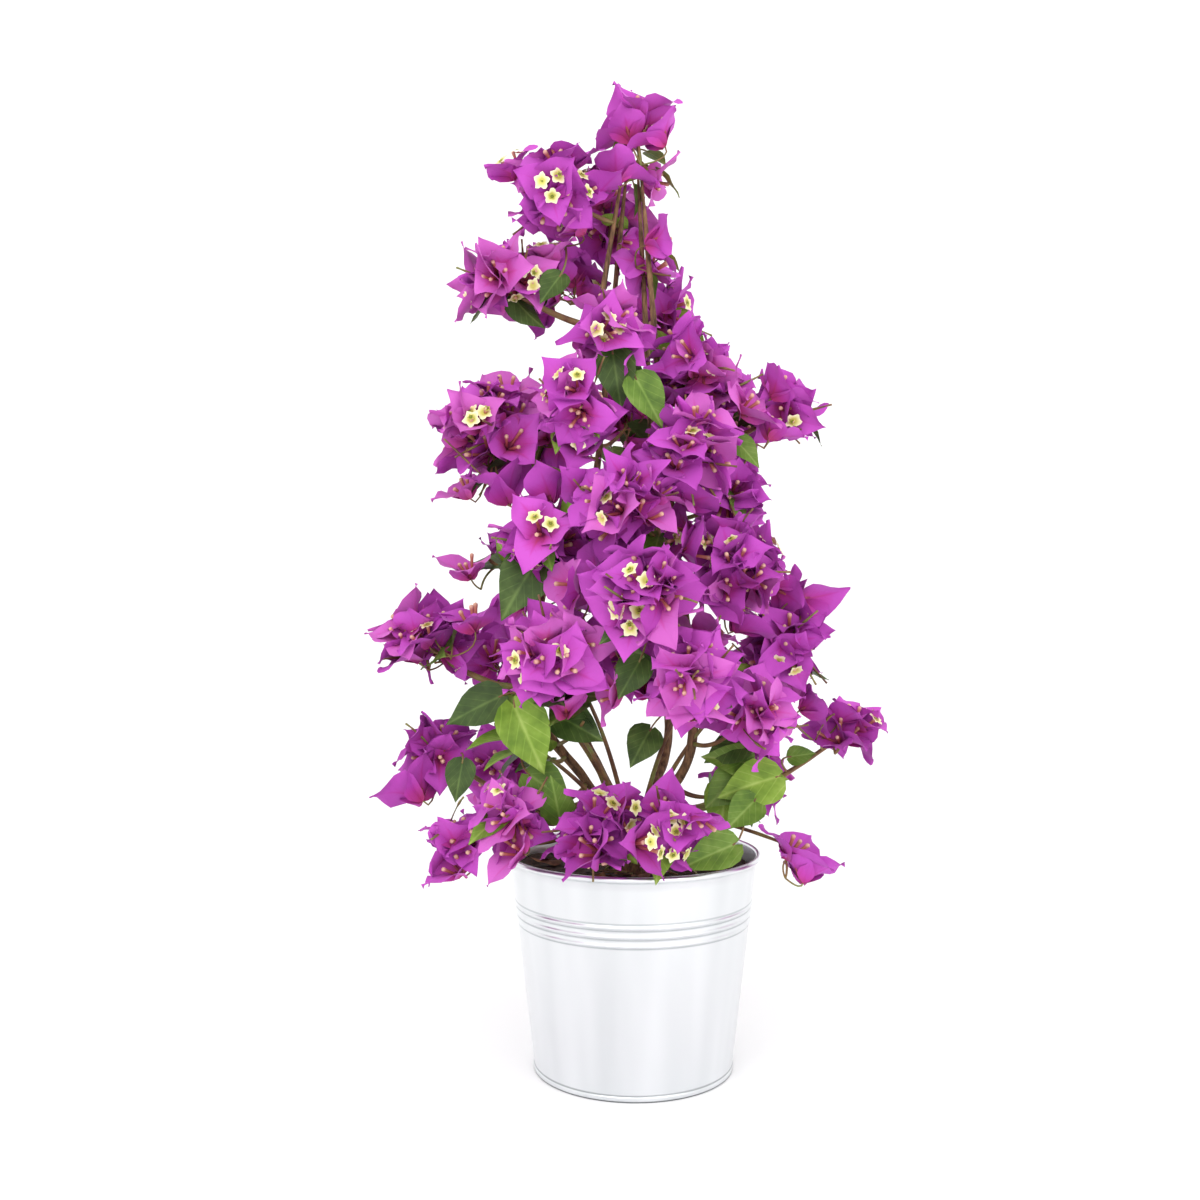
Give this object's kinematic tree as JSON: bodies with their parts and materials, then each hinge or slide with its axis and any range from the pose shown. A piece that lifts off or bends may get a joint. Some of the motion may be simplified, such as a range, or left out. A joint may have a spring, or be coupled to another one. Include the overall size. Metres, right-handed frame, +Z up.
{
  "type": "potted bougainvillea bush",
  "caption": "Cone-shaped bougainvillea bush with woody stems, papery bract blooms and leaves, growing in a round metal bucket that stands on its flat base.",
  "frame": {"origin": "centre of the bucket's flat underside, on the surface that it stands on", "axes": "+Z up along the bucket's axis, -Y towards the plant's front, +X to the front's right"},
  "size_m": [0.4056, 0.3357, 0.7839],
  "materials": {
    "zinc": "hot-dipped zinc on thin sheet, softly bright with faint grey clouding",
    "compost": "dark crumbly compost with dry twigs and leaf litter",
    "bark": "brown fissured bark",
    "young_bark": "smoother brown bark of the younger wood",
    "spray": "papery magenta bracts, matt with a faint sheen, among green leaves",
    "leafy_spray": "mid-green leaves with a soft waxy gloss"
  },
  "bodies": {
    "root": {"bough_far_left": "young_bark", "bough_far_right": "young_bark", "bough_low_far_left": "young_bark", "bough_shoulder_left": "young_bark", "bough_wing_left": "young_bark", "bough_wing_right": "young_bark", "bucket": "zinc", "compost": "compost", "spray_back_high_1": "spray", "spray_back_high_2": "spray", "spray_back_high_3": "spray", "spray_back_low_1": "spray", "spray_back_low_2": "spray", "spray_back_low_3": "spray", "spray_back_middle_1": "spray", "spray_back_middle_2": "spray", "spray_back_middle_3": "spray", "spray_back_skirt_1": "spray", "spray_back_skirt_2": "spray", "spray_back_top_1": "spray", "spray_back_upper_1": "spray", "spray_back_upper_2": "spray", "spray_belly_front": "spray", "spray_belly_left": "spray", "spray_belly_right": "spray", "spray_breast_left": "spray", "spray_breast_right": "spray", "spray_dart_left": "spray", "spray_far_left": "spray", "spray_far_right": "spray", "spray_flank_left": "spray", "spray_flank_right": "spray", "spray_hip_front": "spray", "spray_hip_right": "spray", "spray_leafy_left": "leafy_spray", "spray_leafy_middle": "leafy_spray", "spray_leafy_right": "leafy_spray", "spray_low_far_left": "spray", "spray_middle_front": "spray", "spray_middle_left": "spray", "spray_middle_right": "spray", "spray_shoulder_left": "spray", "spray_shoulder_right": "spray", "spray_skirt_far_left": "spray", "spray_skirt_front": "spray", "spray_skirt_left": "spray", "spray_skirt_middle": "spray", "spray_skirt_right": "spray", "spray_thigh_right": "spray", "spray_top": "spray", "spray_upper_left": "spray", "spray_upper_right": "spray", "spray_wing_left": "spray", "spray_wing_right": "spray", "stem_back": "bark", "stem_left": "bark", "stem_rear_left": "bark", "stem_right": "bark", "trunk": "bark"}
  },
  "joints": []
}
